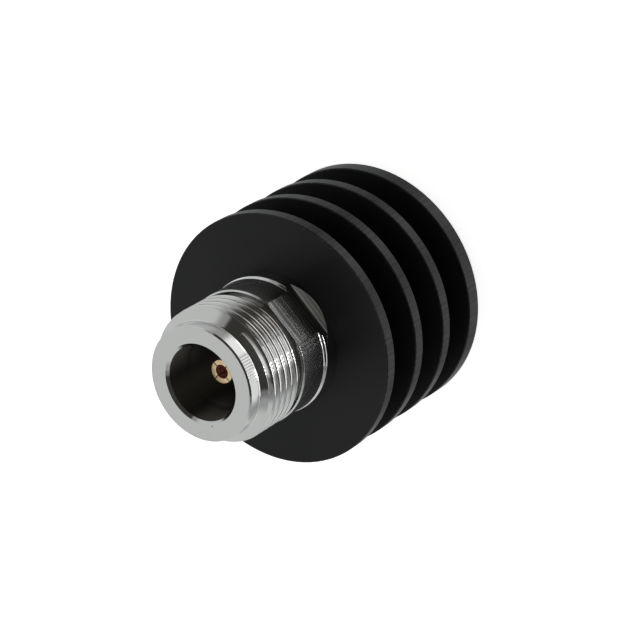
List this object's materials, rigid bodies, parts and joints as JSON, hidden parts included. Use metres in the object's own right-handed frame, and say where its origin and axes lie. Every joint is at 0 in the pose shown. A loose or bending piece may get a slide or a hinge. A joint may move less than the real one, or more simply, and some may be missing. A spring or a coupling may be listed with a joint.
{
  "type": "rf dummy load",
  "caption": "Cylindrical RF dummy load: a black finned heat sink with a bright nickel, screw-coupled coaxial socket on its front and a gold centre contact.",
  "frame": {"origin": "centre of the heat sink's rear face", "axes": "+Z along the load's axis, from the rear face to the mouth; +Y and -Y out of the spanner flats"},
  "size_m": [0.03, 0.03, 0.0341],
  "materials": {
    "black_anodised": "black anodised, fine turned, satin",
    "bright_nickel": "bright nickel plate on turned brass",
    "gold_plate": "gold plate",
    "ptfe": "white PTFE, turned",
    "plain_brass": "turned brass",
    "silver_plate": "silver plate on brass",
    "film_ceramic": "resistive film on a ceramic rod"
  },
  "bodies": {
    "root": {"heat_sink": "black_anodised", "connector_body": "bright_nickel", "centre_contact": "gold_plate", "insulator_bead": "ptfe", "retaining_bush": "plain_brass", "front_end_cap": "silver_plate", "load_resistor": "film_ceramic", "rear_end_cap": "silver_plate", "taper_sleeve": "plain_brass"}
  },
  "joints": []
}
